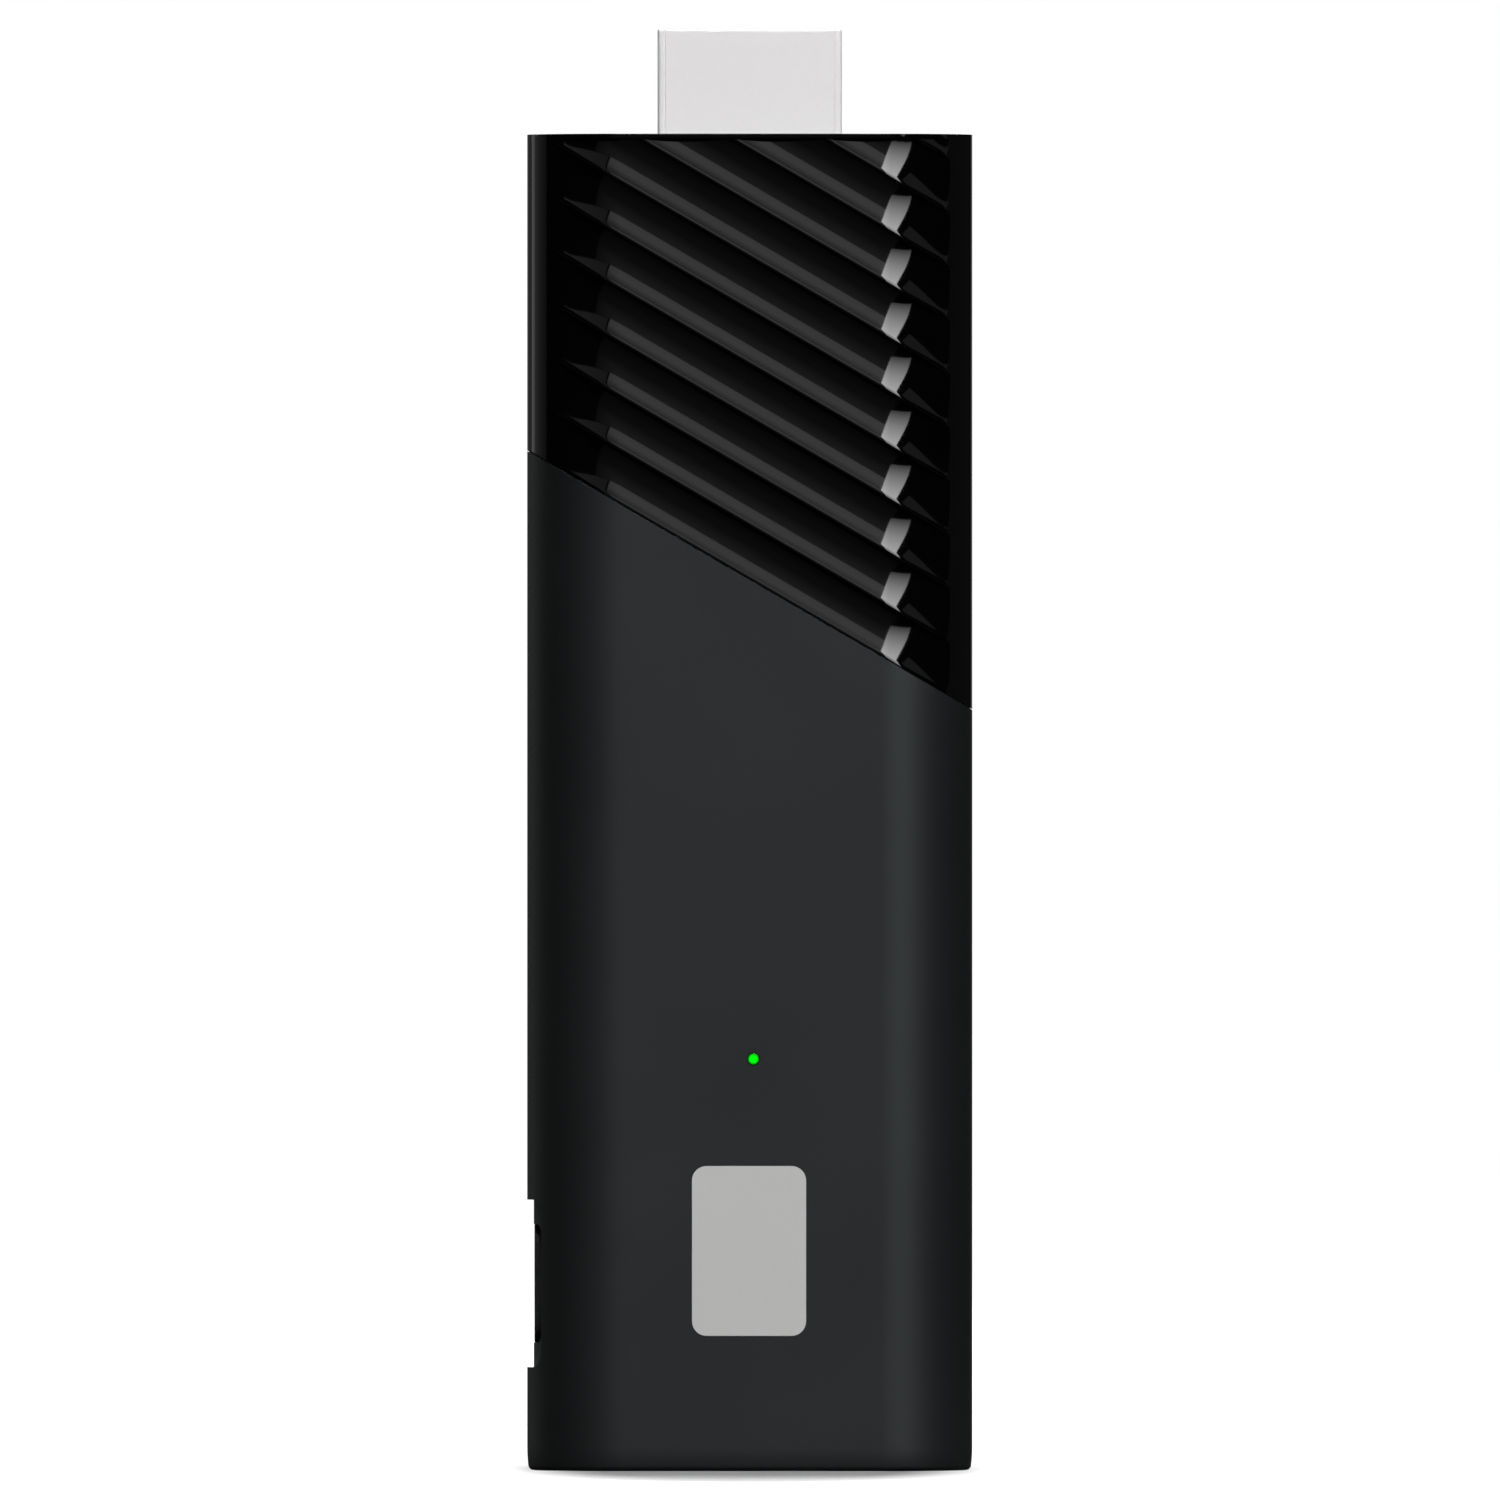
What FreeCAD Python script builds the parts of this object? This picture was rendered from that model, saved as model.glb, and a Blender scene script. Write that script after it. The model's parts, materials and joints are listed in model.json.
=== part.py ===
import FreeCAD, Part
import math
import os

# A streaming stick: a slim box that plugs into the HDMI socket of a television.
# It stands on its lower end with the plug up (+Z). The front faces -Y and X runs across it.
# All sizes are in millimetres. The origin is the middle of the lower end.

Vector = FreeCAD.Vector

# Body
body_width = 33.6
body_thickness = 14.0
body_height = 100.8
base_edge_break = 0.4
top_edge_break = 0.2
shell_wall = 1.4
cover_wall = 2.05
base_wall = 1.6
roof_wall = 1.6

# Room that a cutting shape has beyond what it cuts, and how close two lengths count as one
cutter_margin = 1.0
tiny = 1e-6

# Joint between the front and the rear halves
skin_wall = 0.7
lip_height = 0.8
lip_clearance = 0.05
parting_reveal = 0.08
reveal_depth = 0.3

# Slanted joint between the matt shells and the glossy covers
seam_angle = 30.2
seam_mid_height = 67.2
seam_reveal = 0.12
tongue_length = 1.6
tongue_clearance = 0.05

# Louvres of the covers
louvre_pitch = 4.05
louvre_depth = 0.7
louvre_half_width = 15.1
crest_land = 0.04
crest_lift = 0.02
rim_height = 0.4
shoulder_shares = [0, 0.28, 0.55, 0.82, 1.1]

# HDMI plug
plug_width = 13.9
plug_thickness = 4.45
plug_bevel = 1.9
bevel_angle = 45.0
plug_exposed = 7.95
plug_inside = 6.4
plug_shell_wall = 0.4
plug_clearance = 0.1
plug_edge_round = 0.3
insert_set_back = 0.9
slot_half_width = 5.9
slot_bottom = 8.0
contact_pitch = 1.0
contact_width = 0.45
contact_thickness = 0.15
contact_set_back = 0.8
front_contact_count = 10
tail_length = 2.4
leg_length = 3.0
leg_width = 2.0
leg_clearance = 0.1

# USB socket in the left side
port_height = 14.09
port_length = 8.94
port_thickness = 3.16
port_depth = 7.3
port_shell_wall = 0.3
port_set_back = 0.55
port_clearance = 0.05
recess_length = 12.66
recess_thickness = 7.4
recess_corner = 2.2
recess_depth = 0.5
well_thickness = 5.3
well_corner = 0.7
well_set_back = 1.3
tongue_plate_width = 6.69
tongue_plate_thickness = 0.7
tongue_plate_set_back = 0.8
socket_back_thickness = 1.2
socket_contact_count = 12
socket_contact_pitch = 0.5
socket_contact_width = 0.25
socket_contact_thickness = 0.06
socket_contact_set_back = 0.4
solder_tab_length = 2.0
solder_tab_reach = 1.4
solder_tab_thickness = 0.2

# Main board
board_thickness = 1.0
board_side_gap = 0.75
board_corner = 1.2
board_base_gap = 1.6
board_plug_gap = 0.4
notch_clearance = 0.12

# Screws and bosses, given as (side, up from the base or down from the top)
lower_bosses = [(1, 9.0), (-1, 32.0)]
upper_bosses = [(1, 10.0), (-1, 10.0)]
boss_side_gap = 2.7
boss_diameter = 3.4
boss_root = 0.2
screw_diameter = 1.4
screw_length = 3.6
screw_head_diameter = 2.8
screw_head_height = 0.8
screw_clearance = 0.02
screw_hole_clearance = 0.15
pilot_spare = 0.5

# Shield, chips and heat path
shield_top_gap = 6.0
shield_bottom = 46.0
shield_side_gap = 1.6
frame_height = 1.75
sheet_thickness = 0.2
flange_width = 1.2
lid_clearance = 0.04
lid_skirt = 1.2
can_height = 2.0
processor_size = 14.0
processor_base = 0.5
processor_cap = 0.7
processor_cap_size = 11.5
flash_width = 11.5
flash_length = 13.0
flash_height = 1.0
flash_top_gap = 3.0
flash_side_gap = 0.65
memory_width = 9.0
memory_length = 12.5
memory_height = 1.0
memory_gap = 2.2
crystal_width = 2.5
crystal_length = 3.2
crystal_height = 0.8
crystal_side_gap = 0.95
crystal_rise = 10.0
processor_pad_inset = 1.0
heat_pad_inset = 1.0
spreader_thickness = 0.6
spreader_gap = 0.75
spreader_side_gap = 0.8
rib_width = 1.2
rib_shift = 8.0
rib_end_gap = 1.0
rib_root = 0.2

# Supply and radio parts near the lower end
power_chip_size = 5.0
power_chip_height = 0.9
power_chip_side_gap = 3.0
power_row_gap = 6.0
inductor_size = 3.2
inductor_height = 1.8
inductor_pitch = 4.6
inductor_count = 3
inductor_shift = 3.4
capacitor_width = 0.8
capacitor_length = 1.6
capacitor_height = 0.8
capacitor_pitch = 2.4
capacitor_count = 8
capacitor_row_height = 28.0
capacitor_side_gap = 6.2
radio_size = 12.0
radio_base = 0.6
radio_lid = 1.2
radio_lid_inset = 0.3
radio_height = 20.0
radio_shift = 4.6
antenna_side_gap = 2.0
antenna_width = 2.6
antenna_rise = 3.2
antenna_foot = 1.4
antenna_shift = 2.4
antenna_height = 3.6

# Status lamp
lamp_shift = 0.28
lamp_height = 31.06
lamp_length = 1.6
lamp_width = 0.8
lamp_thickness = 0.6
guide_diameter = 0.9
guide_clearance = 0.03
guide_flange_diameter = 3.0
guide_flange_thickness = 0.8
guide_stem_diameter = 1.8
guide_gap = 0.2

# Reset button in the rear shell and the switch behind it
button_height = 38.0
button_travel = 0.25
button_diameter = 2.2
button_bore_clearance = 0.05
button_set_back = 0.3
button_edge_break = 0.15
button_flange_diameter = 3.6
button_flange_thickness = 0.6
button_flange_gap = 0.1
button_stem_diameter = 1.6
button_stem_gap = 0.05
sleeve_wall = 0.7
sleeve_clearance = 0.08
sleeve_length = 2.0
switch_size = 3.6
switch_body_height = 1.3
switch_floor = 0.2
switch_cover_thickness = 0.2
switch_pocket_diameter = 2.6
plunger_diameter = 1.5
plunger_length = 1.45
plunger_clearance = 0.08
plunger_flange_diameter = 2.4
plunger_flange_thickness = 0.3
plunger_top_gap = 0.05
dome_span = 2.2
dome_crown = 1.1
dome_width = 1.2
dome_clearance = 0.04
dome_thickness = 0.08

# Worked out from the sizes above
side_radius = body_thickness / 2
flat_half_width = body_width / 2 - side_radius
shell_inside = side_radius - shell_wall
cover_inside = side_radius - cover_wall
louvre_end_turn = math.asin((louvre_half_width - flat_half_width) / side_radius)
board_half = board_thickness / 2
board_half_width = body_width / 2 - cover_wall - board_side_gap
boss_shift = board_half_width - boss_side_gap
board_bottom = base_wall + board_base_gap
plug_bottom = body_height - plug_inside
plug_top = body_height + plug_exposed
board_top = plug_bottom - board_plug_gap
shield_top = board_top - shield_top_gap
shield_length = shield_top - shield_bottom
shield_middle = (shield_top + shield_bottom) / 2
shield_half_width = board_half_width - shield_side_gap
shield_inside = shield_half_width - sheet_thickness
flash_middle = shield_top - flash_top_gap - flash_length / 2
processor_middle = (shield_bottom + flash_middle - flash_length / 2) / 2
processor_face = board_half + processor_base + processor_cap
power_row_height = shield_bottom - power_row_gap
lid_face = board_half + frame_height + sheet_thickness
can_face = board_half + can_height
spreader_face = cover_inside - spreader_gap
spreader_back = spreader_face - spreader_thickness
spreader_half_width = shield_half_width - spreader_side_gap
port_mouth = -(body_width / 2 - port_set_back)
switch_floor_face = board_half + switch_floor
switch_body_top = board_half + switch_body_height
switch_cover_top = switch_body_top + switch_cover_thickness
plunger_flange_top = switch_body_top - plunger_top_gap
plunger_start = plunger_flange_top - plunger_flange_thickness
plunger_top = plunger_start + plunger_length
slant = math.tan(math.radians(seam_angle))
reach = 2 * body_height

os.makedirs("parts", exist_ok=True)


def write(name, shape):
    shape.exportStep("parts/" + name + ".step")


def box(x_low, x_high, y_low, y_high, z_low, z_high):
    corner = Vector(x_low, y_low, z_low)
    return Part.makeBox(x_high - x_low, y_high - y_low, z_high - z_low, corner)


def post(x, z, diameter, y_start, y_end):
    """A round bar along Y between two depths."""
    low = min(y_start, y_end)
    return Part.makeCylinder(diameter / 2, abs(y_end - y_start), Vector(x, low, z), Vector(0, 1, 0))


def plate(x, z, width, length, y_start, y_end, corner):
    """A flat plate facing along Y, with round corners."""
    low = min(y_start, y_end)
    high = max(y_start, y_end)
    blank = box(x - width / 2, x + width / 2, low, high, z - length / 2, z + length / 2)
    upright = [edge for edge in blank.Edges if edge.BoundBox.YLength > high - low - tiny]
    return blank.makeFillet(corner, upright)


def to_rear(shape):
    """The same shape mirrored from the front half to the rear half."""
    return shape.mirror(Vector(0, 0, 0), Vector(0, 1, 0))


def stadium_face(half_flat, radius, height):
    """A face across Z with two straight sides and two half-round ends."""
    corners = [
        Vector(-half_flat, -radius, height),
        Vector(half_flat, -radius, height),
        Vector(half_flat, radius, height),
        Vector(-half_flat, radius, height),
    ]
    right = Vector(half_flat + radius, 0, height)
    left = Vector(-half_flat - radius, 0, height)
    edges = [
        Part.LineSegment(corners[0], corners[1]).toShape(),
        Part.Arc(corners[1], right, corners[2]).toShape(),
        Part.LineSegment(corners[2], corners[3]).toShape(),
        Part.Arc(corners[3], left, corners[0]).toShape(),
    ]
    return Part.Face(Part.Wire(edges))


def inset_body(inset, low, high):
    """The body's section drawn in by an inset, between two heights."""
    face = stadium_face(flat_half_width, side_radius - inset, low)
    return face.extrude(Vector(0, 0, high - low))


def outer_body():
    blank = inset_body(0, 0, body_height)
    base_edges = [edge for edge in blank.Edges if edge.BoundBox.ZMax < tiny]
    broken = blank.makeChamfer(base_edge_break, base_edges)
    top_edges = [edge for edge in broken.Edges if edge.BoundBox.ZMin > body_height - tiny]
    return broken.makeChamfer(top_edge_break, top_edges)


def seam_height(x):
    return seam_mid_height - slant * x


def slanted_zone(rise, upper):
    """All space on one side of the seam plane raised by rise."""
    end = reach if upper else -reach
    corners = [
        Vector(-reach, -reach, seam_height(-reach) + rise),
        Vector(reach, -reach, seam_height(reach) + rise),
        Vector(reach, -reach, seam_height(reach) + rise + end),
        Vector(-reach, -reach, seam_height(-reach) + rise + end),
    ]
    outline = Part.makePolygon(corners + [corners[0]])
    return Part.Face(outline).extrude(Vector(0, 2 * reach, 0))


def half_space(y_low, y_high):
    return box(-reach, reach, y_low, y_high, -reach, reach)


def louvre_section(x, surface, depth, index):
    """Outline of a louvre's hollow at x: a parabola, deepest under the louvre above it."""
    root = seam_height(x) + (index + 1) * louvre_pitch
    bottom = root - louvre_pitch + crest_land
    hollow_depth = depth - surface
    crest_depth = -surface - crest_lift
    outer_depth = -surface - cutter_margin
    hollow = Part.BezierCurve()
    hollow.setPoles([
        Vector(x, hollow_depth, root),
        Vector(x, hollow_depth, (root + bottom) / 2),
        Vector(x, crest_depth, bottom),
    ])
    outside = Part.makePolygon([
        Vector(x, crest_depth, bottom),
        Vector(x, outer_depth, bottom),
        Vector(x, outer_depth, root),
        Vector(x, hollow_depth, root),
    ])
    return Part.Wire([hollow.toShape()] + outside.Edges)


def louvre_cutter(index):
    """One louvre's hollow: even over the flat front, running out round both shoulders."""
    sections = []
    for side, shares in ((-1, shoulder_shares[::-1]), (1, shoulder_shares)):
        for share in shares:
            turn = share * louvre_end_turn
            x = side * (flat_half_width + side_radius * math.sin(turn))
            depth = louvre_depth * math.cos(math.pi / 2 * share)
            sections.append(louvre_section(x, side_radius * math.cos(turn), depth, index))
    return Part.makeLoft(sections, True, True)


def louvre_cutters():
    """The hollows of all louvres, ending below the rim at the top of the cover."""
    limit = body_height - rim_height
    count = math.ceil((limit - seam_height(louvre_half_width)) / louvre_pitch)
    below_rim = box(-reach, reach, -reach, 0, 0, limit)
    return [louvre_cutter(index).common(below_rim) for index in range(count)]


def plug_outline(inset, height):
    """The plug's section: full width at the front, bevelled corners at the rear."""
    half = plug_width / 2 - inset
    front = -plug_thickness / 2 + inset
    rear = plug_thickness / 2 - inset
    bevel = plug_bevel - inset * math.tan(math.radians(bevel_angle / 2))
    corners = [
        Vector(-half, front, height),
        Vector(half, front, height),
        Vector(half, rear - bevel, height),
        Vector(half - bevel, rear, height),
        Vector(-half + bevel, rear, height),
        Vector(-half, rear - bevel, height),
    ]
    return Part.Face(Part.makePolygon(corners + [corners[0]]))


def plug_prism(inset, low, high):
    return plug_outline(inset, low).extrude(Vector(0, 0, high - low))


def port_prism(grow, x_low, x_high):
    """The USB socket's oval section, along X at the port's height."""
    radius = port_thickness / 2 + grow
    half_flat = (port_length - port_thickness) / 2
    face = stadium_face(half_flat, radius, 0)
    prism = face.extrude(Vector(0, 0, x_high - x_low))
    prism.rotate(Vector(0, 0, 0), Vector(0, 1, 0), 90)
    prism.translate(Vector(x_low, 0, port_height))
    return prism


def side_window(length, thickness, corner, x_end):
    """A round-cornered opening cut in from the left side, level with the socket."""
    blank = box(-reach, x_end, -thickness / 2, thickness / 2,
                port_height - length / 2, port_height + length / 2)
    along = [edge for edge in blank.Edges if edge.BoundBox.XLength > reach + x_end - tiny]
    return blank.makeFillet(corner, along)


def port_recess():
    """The shallow pocket for the cable's plug, with a deeper well round the socket."""
    pocket = side_window(recess_length, recess_thickness, recess_corner, 0)
    pocket = pocket.cut(inset_body(recess_depth, -reach, reach))
    well = side_window(port_length + 2 * port_clearance, well_thickness, well_corner,
                       well_set_back - body_width / 2)
    return pocket.fuse(well)


def bosses_for(upper):
    """Screw places as (x, z) pairs for the covers or for the shells."""
    if upper:
        return [(side * boss_shift, body_height - drop) for side, drop in upper_bosses]
    return [(side * boss_shift, rise) for side, rise in lower_bosses]


def support_ribs(wall, zone):
    """Front ribs that hold the heat spreader off the wall."""
    ribs = []
    for side in (-1, 1):
        middle = side * rib_shift
        rib = box(middle - rib_width / 2, middle + rib_width / 2,
                  -(side_radius - wall + rib_root), -spreader_face,
                  shield_bottom + rib_end_gap, shield_top - rib_end_gap)
        ribs.append(rib.common(zone))
    return ribs


def ring(wall, upper):
    """The closed tube of the covers or of the shells, before it is halved."""
    zone = slanted_zone(0, upper)
    if upper:
        cavity = inset_body(wall, -reach, body_height - roof_wall)
    else:
        cavity = inset_body(wall, base_wall, reach)
    tube = outer_body().common(zone).cut(cavity)
    if not upper:
        return tube
    tongue = inset_body(shell_wall + tongue_clearance, 0, reach)
    tongue = tongue.cut(inset_body(cover_wall, -reach, reach))
    band = slanted_zone(-tongue_length, True).common(slanted_zone(0, False))
    return tube.fuse(tongue.common(band))


def reveal_band(zone):
    """The fine open line around the outside where the two halves meet."""
    skin = outer_body().cut(inset_body(reveal_depth, reveal_depth, body_height - reveal_depth))
    return skin.common(half_space(-parting_reveal, 0)).common(zone)


def halves(wall, upper):
    """Front and rear pieces of one tube, with a lip that locates them."""
    tube = ring(wall, upper)
    zone = slanted_zone(-tongue_length if upper else 0, upper)
    inner = inset_body(skin_wall, skin_wall, body_height - skin_wall)
    inner_lip = inset_body(skin_wall + lip_clearance, skin_wall + lip_clearance,
                           body_height - skin_wall - lip_clearance)
    rebate = inner.common(half_space(-lip_height - lip_clearance, 0))
    front = tube.common(half_space(-reach, 0)).cut(rebate)
    front = front.cut(reveal_band(zone))
    lip = tube.common(inner_lip).common(half_space(-lip_height, 0))
    rear = tube.common(half_space(0, reach)).fuse(lip)
    seam_line = outer_body().cut(inset_body(reveal_depth, -reach, reach))
    seam_line = seam_line.common(slanted_zone(-seam_reveal, True))
    if not upper:
        front = front.cut(seam_line)
        rear = rear.cut(seam_line)
    inside = slanted_zone(0, True) if upper else slanted_zone(-tongue_length - rib_end_gap, False)
    ribs = support_ribs(wall, inside)
    front = front.fuse(ribs)
    rear = rear.fuse([to_rear(rib) for rib in ribs])
    for x, z in bosses_for(upper):
        boss = post(x, z, boss_diameter, board_half, side_radius - wall + boss_root)
        pilot = post(x, z, screw_diameter + 2 * screw_clearance,
                     board_half, board_half + screw_length + pilot_spare - board_thickness)
        rear = rear.fuse(boss).cut(pilot)
    return front, rear


def louvre_covers():
    """Glossy upper covers, open for the plug, the front one hollowed into louvres."""
    front, rear = halves(cover_wall, True)
    aperture = plug_prism(-plug_clearance, body_height - roof_wall - cutter_margin,
                          body_height + cutter_margin)
    return front.cut(louvre_cutters()).cut(aperture), rear.cut(aperture)


def matt_shells():
    """Matt lower shells with the USB opening, the lamp hole and the button bore."""
    front, rear = halves(shell_wall, False)
    opening = port_prism(port_clearance, -body_width, port_mouth + port_depth)
    recess = port_recess()
    lamp_hole = post(lamp_shift, lamp_height, guide_diameter + 2 * guide_clearance, 0, -reach)
    front = front.cut(recess).cut(opening).cut(lamp_hole)
    bore = post(0, button_height, button_diameter + 2 * button_bore_clearance, 0, reach)
    sleeve_bore = button_flange_diameter + 2 * sleeve_clearance
    sleeve = post(0, button_height, sleeve_bore + 2 * sleeve_wall,
                  shell_inside - sleeve_length, shell_inside + rib_root)
    sleeve = sleeve.cut(post(0, button_height, sleeve_bore, 0, shell_inside))
    rear = rear.fuse(sleeve).cut(recess).cut(opening).cut(bore)
    return front, rear


def main_board():
    """Circuit board with a notch for the USB socket and slots for the plug's legs."""
    length = board_top - board_bottom
    middle = (board_top + board_bottom) / 2
    board = plate(0, middle, 2 * board_half_width, length, -board_half, board_half, board_corner)
    notch_half = port_length / 2 + notch_clearance
    board = board.cut(box(-reach, port_mouth + port_depth + notch_clearance, -reach, reach,
                          port_height - notch_half, port_height + notch_half))
    for side in (-1, 1):
        outer = plug_width / 2 + leg_clearance
        inner = plug_width / 2 - plug_shell_wall - leg_clearance
        slot = box(inner, outer, -reach, reach, plug_bottom - leg_length - leg_clearance, reach)
        if side < 0:
            slot = slot.mirror(Vector(0, 0, 0), Vector(1, 0, 0))
        board = board.cut(slot)
    for x, z in bosses_for(True) + bosses_for(False):
        board = board.cut(post(x, z, screw_diameter + 2 * screw_hole_clearance, -reach, reach))
    return board


def board_screws():
    screws = []
    for x, z in bosses_for(True) + bosses_for(False):
        head = post(x, z, screw_head_diameter, -board_half - screw_head_height, -board_half)
        shank = post(x, z, screw_diameter, -board_half, screw_length - board_half)
        screws.append(head.fuse(shank).removeSplitter())
    return Part.makeCompound(screws)


def chip(x, z, width, length, start, height):
    """A flat package standing off the board; start is signed, front is negative."""
    end = start + math.copysign(height, start)
    return box(x - width / 2, x + width / 2, min(start, end), max(start, end),
               z - length / 2, z + length / 2)


def processor():
    base = chip(0, processor_middle, processor_size, processor_size, -board_half, processor_base)
    cap = chip(0, processor_middle, processor_cap_size, processor_cap_size,
               -board_half - processor_base, processor_cap)
    return base.fuse(cap)


def flash_chip():
    x = shield_inside - flash_side_gap - flash_width / 2
    return chip(x, flash_middle, flash_width, flash_length, -board_half, flash_height)


def crystal():
    x = -(shield_inside - crystal_side_gap - crystal_width / 2)
    return chip(x, shield_bottom + crystal_rise, crystal_width, crystal_length,
                -board_half, crystal_height)


def shield_box(grow, y_start, y_end):
    """A block on the shield's outline, grown or drawn in all round."""
    low = min(y_start, y_end)
    high = max(y_start, y_end)
    half = shield_half_width + grow
    return box(-half, half, low, high, shield_bottom - grow, shield_top + grow)


def shield_frame():
    """Folded wall around the chips, with a flange turned in at the top."""
    top = board_half + frame_height
    outer = shield_box(0, -board_half, -top)
    inside = shield_box(-sheet_thickness, -board_half, sheet_thickness - top)
    window = shield_box(-flange_width, -board_half, -top)
    return outer.cut(inside).cut(window)


def shield_lid():
    """Folded lid that snaps over the frame."""
    outer = shield_box(lid_clearance + sheet_thickness, lid_skirt - lid_face, -lid_face)
    inside = shield_box(lid_clearance, lid_skirt - lid_face, sheet_thickness - lid_face)
    return outer.cut(inside)


def rear_can():
    """One-piece folded can over the memory on the rear of the board."""
    outer = shield_box(0, board_half, can_face)
    return outer.cut(shield_box(-sheet_thickness, board_half, can_face - sheet_thickness))


def memory_chips():
    shift = (memory_width + memory_gap) / 2
    pair = [chip(side * shift, shield_middle, memory_width, memory_length,
                 board_half, memory_height) for side in (-1, 1)]
    return Part.makeCompound(pair)


def heat_spreader():
    """Front plate pressed from sheet, its wings following the round cavity."""
    outer = inset_body(side_radius - spreader_face, shield_bottom, shield_top)
    inner = inset_body(side_radius - spreader_back, -reach, 2 * reach)
    keep = box(-spreader_half_width, spreader_half_width, -reach, 0, -reach, 2 * reach)
    return outer.cut(inner).common(keep)


def power_chip():
    x = -(board_half_width - power_chip_side_gap - power_chip_size / 2)
    return chip(x, power_row_height, power_chip_size, power_chip_size,
                -board_half, power_chip_height)


def power_inductors():
    coils = []
    for index in range(inductor_count):
        x = inductor_shift + (index - (inductor_count - 1) / 2) * inductor_pitch
        coils.append(chip(x, power_row_height, inductor_size, inductor_size,
                          -board_half, inductor_height))
    return Part.makeCompound(coils)


def capacitors():
    x = -(board_half_width - capacitor_side_gap - capacitor_length / 2)
    row = []
    for index in range(capacitor_count):
        z = capacitor_row_height + (index - (capacitor_count - 1) / 2) * capacitor_pitch
        row.append(chip(x, z, capacitor_length, capacitor_width, board_half, capacitor_height))
    return Part.makeCompound(row)


def radio_module():
    """Radio board with its own metal lid."""
    base = chip(radio_shift, radio_height, radio_size, radio_size, -board_half, radio_base)
    lid_size = radio_size - 2 * radio_lid_inset
    lid = chip(radio_shift, radio_height, lid_size, lid_size, -board_half - radio_base, radio_lid)
    return base.fuse(lid)


def antenna(side):
    """Bent strip aerial that stands on the lower edge of the board."""
    top = -board_half - antenna_rise
    foot = box(antenna_shift, antenna_shift + antenna_foot, -board_half - sheet_thickness,
               -board_half, antenna_height, antenna_height + antenna_width)
    riser = box(antenna_shift, antenna_shift + sheet_thickness, top, -board_half,
                antenna_height, antenna_height + antenna_width)
    strip = box(antenna_shift, board_half_width - antenna_side_gap, top, top + sheet_thickness,
                antenna_height, antenna_height + antenna_width)
    shape = foot.fuse([riser, strip]).removeSplitter()
    if side < 0:
        shape = shape.mirror(Vector(0, 0, 0), Vector(1, 0, 0))
    return shape


def plug_shell():
    """Folded steel shell of the plug, with two legs soldered through the board."""
    tube = plug_prism(0, plug_bottom, plug_top)
    sides = [edge for edge in tube.Edges if edge.BoundBox.ZLength > plug_exposed]
    tube = tube.makeFillet(plug_edge_round, sides)
    tube = tube.cut(plug_prism(plug_shell_wall, plug_bottom - cutter_margin,
                               plug_top + cutter_margin))
    legs = []
    for side in (-1, 1):
        outer = plug_width / 2
        leg = box(outer - plug_shell_wall, outer, -leg_width / 2, leg_width / 2,
                  plug_bottom - leg_length, plug_bottom + plug_shell_wall)
        if side < 0:
            leg = leg.mirror(Vector(0, 0, 0), Vector(1, 0, 0))
        legs.append(leg)
    return tube.fuse(legs).removeSplitter()


def plug_contacts():
    """Two rows of contacts that straddle the board, the rear row set half a step across."""
    strips = []
    for side, count in ((-1, front_contact_count), (1, front_contact_count - 1)):
        for index in range(count):
            x = (index - (count - 1) / 2) * contact_pitch
            near = side * board_half
            far = side * (board_half + contact_thickness)
            strips.append(box(x - contact_width / 2, x + contact_width / 2,
                              min(near, far), max(near, far),
                              board_top - tail_length,
                              plug_top - insert_set_back - contact_set_back))
    return strips


def plug_insert():
    """Moulded insert that carries the contacts around the slot."""
    block = plug_prism(plug_shell_wall, plug_bottom, plug_top - insert_set_back)
    slot_half = board_half + contact_thickness
    slot = box(-slot_half_width, slot_half_width, -slot_half, slot_half,
               plug_bottom + slot_bottom, reach)
    return block.cut(slot).cut(plug_contacts())


def socket_shell():
    """Drawn steel shell of the USB socket, lying in the board's notch."""
    back = port_mouth + port_depth
    inside = port_prism(-port_shell_wall, port_mouth - cutter_margin, back - port_shell_wall)
    tabs = []
    for side in (-1, 1):
        tip = side * (port_length / 2 + solder_tab_reach)
        root = side * (port_length / 2 - port_shell_wall)
        for start in (port_mouth + port_depth / 2, back - solder_tab_length):
            tabs.append(box(start, start + solder_tab_length,
                            -board_half - solder_tab_thickness, -board_half,
                            port_height + min(tip, root), port_height + max(tip, root)))
    return port_prism(0, port_mouth, back).fuse(tabs).cut(inside)


def socket_tongue():
    """Moulded back and tongue inside the USB socket."""
    back = port_mouth + port_depth - port_shell_wall
    block = port_prism(-port_shell_wall, back - socket_back_thickness, back)
    tongue = box(port_mouth + tongue_plate_set_back, back - socket_back_thickness,
                 -tongue_plate_thickness / 2, tongue_plate_thickness / 2,
                 port_height - tongue_plate_width / 2, port_height + tongue_plate_width / 2)
    return block.fuse(tongue).removeSplitter()


def socket_contacts():
    back = port_mouth + port_depth - port_shell_wall - socket_back_thickness
    front = port_mouth + tongue_plate_set_back + socket_contact_set_back
    strips = []
    for side in (-1, 1):
        near = side * tongue_plate_thickness / 2
        far = near + side * socket_contact_thickness
        for index in range(socket_contact_count):
            z = port_height + (index - (socket_contact_count - 1) / 2) * socket_contact_pitch
            strips.append(box(front, back, min(near, far), max(near, far),
                              z - socket_contact_width / 2, z + socket_contact_width / 2))
    return Part.makeCompound(strips)


def light_guide():
    """Clear pin that carries the lamp's light to the front."""
    flange_end = -shell_inside + guide_flange_thickness
    tip = post(lamp_shift, lamp_height, guide_diameter, -side_radius, flange_end)
    flange = post(lamp_shift, lamp_height, guide_flange_diameter, -shell_inside, flange_end)
    stem = post(lamp_shift, lamp_height, guide_stem_diameter, flange_end,
                -board_half - lamp_thickness - guide_gap)
    return tip.fuse([flange, stem]).removeSplitter()


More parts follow.
